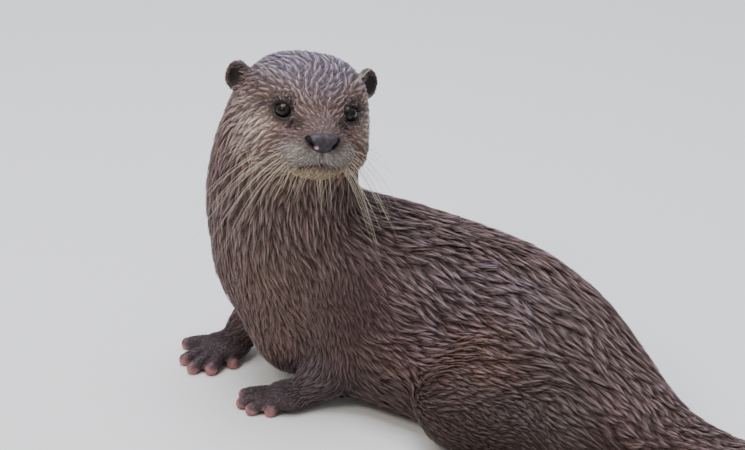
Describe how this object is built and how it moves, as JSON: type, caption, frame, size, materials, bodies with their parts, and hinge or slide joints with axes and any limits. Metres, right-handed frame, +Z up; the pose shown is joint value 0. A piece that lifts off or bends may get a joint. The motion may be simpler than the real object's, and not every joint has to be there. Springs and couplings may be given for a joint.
{
  "type": "small-clawed river otter",
  "caption": "Still, life-size model of a small river otter that crouches on all fours with its head raised and turned to the side and its tail laid out behind",
  "frame": {"origin": "middle of the footprint box, on the floor under the otter", "axes": "+Z up; +X from the chest towards the tail, along the trunk; +Y towards the otter's right side; the face looks towards -Y"},
  "size_m": [0.5098, 0.2826, 0.2277],
  "materials": {
    "coat": "short dense brown fur, damp and clumped",
    "face": "very short brown fur, paler on the lips and chin",
    "paw": "nearly bare dark skin",
    "ear": "thin dark skin with a short fringe",
    "nose": "moist dark skin",
    "eye": "wet and glossy"
  },
  "bodies": {
    "root": {"chest": "coat", "neck": "coat", "loin": "coat", "rump": "coat", "tail_base": "coat", "tail_middle": "coat", "tail_tip": "coat", "head": "face", "ear_left": "ear", "ear_right": "ear", "eye_left": "eye", "eye_right": "eye", "nose_pad": "nose", "foreleg_left": "coat", "foreleg_right": "coat", "forefoot_left": "paw", "forefoot_right": "paw", "hind_leg_left": "coat", "hind_leg_right": "coat", "hind_foot_left": "paw", "hind_foot_right": "paw"}
  },
  "joints": []
}
